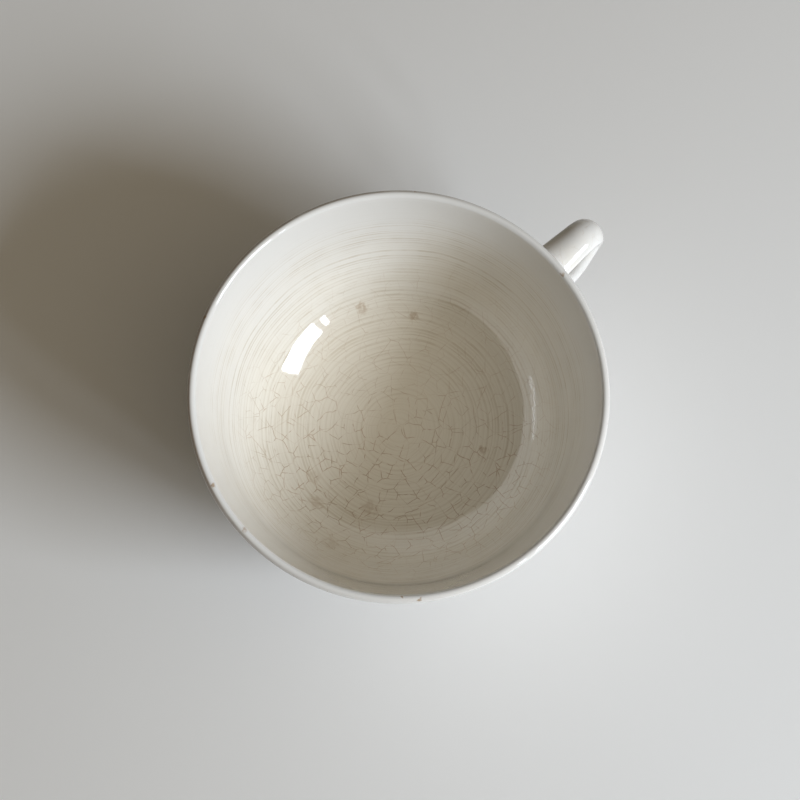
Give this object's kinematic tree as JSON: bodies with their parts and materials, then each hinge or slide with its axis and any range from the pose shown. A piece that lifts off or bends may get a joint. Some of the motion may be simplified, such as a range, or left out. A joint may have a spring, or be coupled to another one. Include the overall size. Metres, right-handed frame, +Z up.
{
  "type": "teacup",
  "caption": "Wide, round-bottomed white glazed teacup with a rounded lip, a low foot ring and one strap handle; crazed, stained glaze.",
  "frame": {"origin": "centre of the flat land of the foot ring, on the surface that the cup rests on", "axes": "+Z up the cup's axis, +X out along the handle, +Y across the handle"},
  "size_m": [0.1226, 0.106, 0.058],
  "materials": {
    "clay": "fired, matt, off-white",
    "slip": "fired, matt, stained tan",
    "inner_glaze": "glossy, crazed, stained tan between fine throwing rings",
    "outer_glaze": "glossy, finely crazed, lightly stained"
  },
  "bodies": {
    "root": {"bowl": "clay", "foot_ring": "clay", "handle": "clay", "upper_joint_slip": "slip", "lower_joint_slip": "slip", "interior_glaze": "inner_glaze", "exterior_glaze": "outer_glaze", "handle_glaze": "outer_glaze", "base_glaze": "outer_glaze"}
  },
  "joints": []
}
